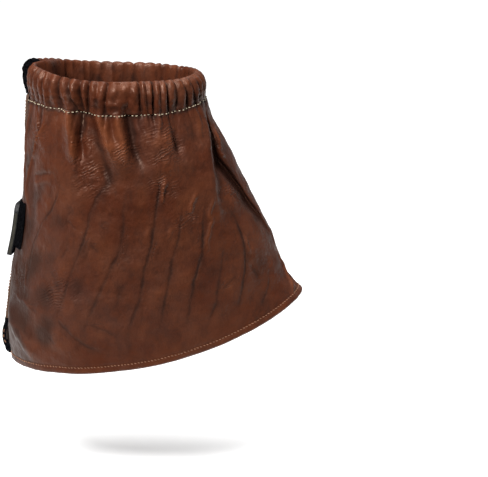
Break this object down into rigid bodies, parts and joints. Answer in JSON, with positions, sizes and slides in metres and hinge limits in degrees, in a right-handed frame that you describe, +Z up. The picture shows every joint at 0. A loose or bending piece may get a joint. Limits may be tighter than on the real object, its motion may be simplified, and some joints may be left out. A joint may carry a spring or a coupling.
{
  "type": "leather gaiter",
  "caption": "Brown leather ankle gaiter in its worn shape, with a gathered elastic casing at the top, a flared leg panel and a hook and loop closing at the back.",
  "frame": {"origin": "middle of the elastic casing's opening, where the elastic holds on to the leg", "axes": "+Z up the leg, +X towards the toe, -Y towards the outer side of the leg, +Y towards its inner side"},
  "size_m": [0.199, 0.1062, 0.1937],
  "materials": {
    "leather": "crumpled semi-gloss brown leather",
    "tab_leather": "dull olive-grey coated leather",
    "tape": "matt black hook and loop tape",
    "casing_thread": "cream thread",
    "hem_thread": "tan waxed thread"
  },
  "bodies": {
    "root": {"leg_panel": "leather", "elastic_casing": "leather", "closure_tab": "tab_leather", "loop_patch_top": "tape", "hook_patch_top": "tape", "loop_patch_mid": "tape", "hook_patch_tab": "tape", "loop_patch_heel": "tape", "hook_patch_heel": "tape"}
  },
  "joints": []
}
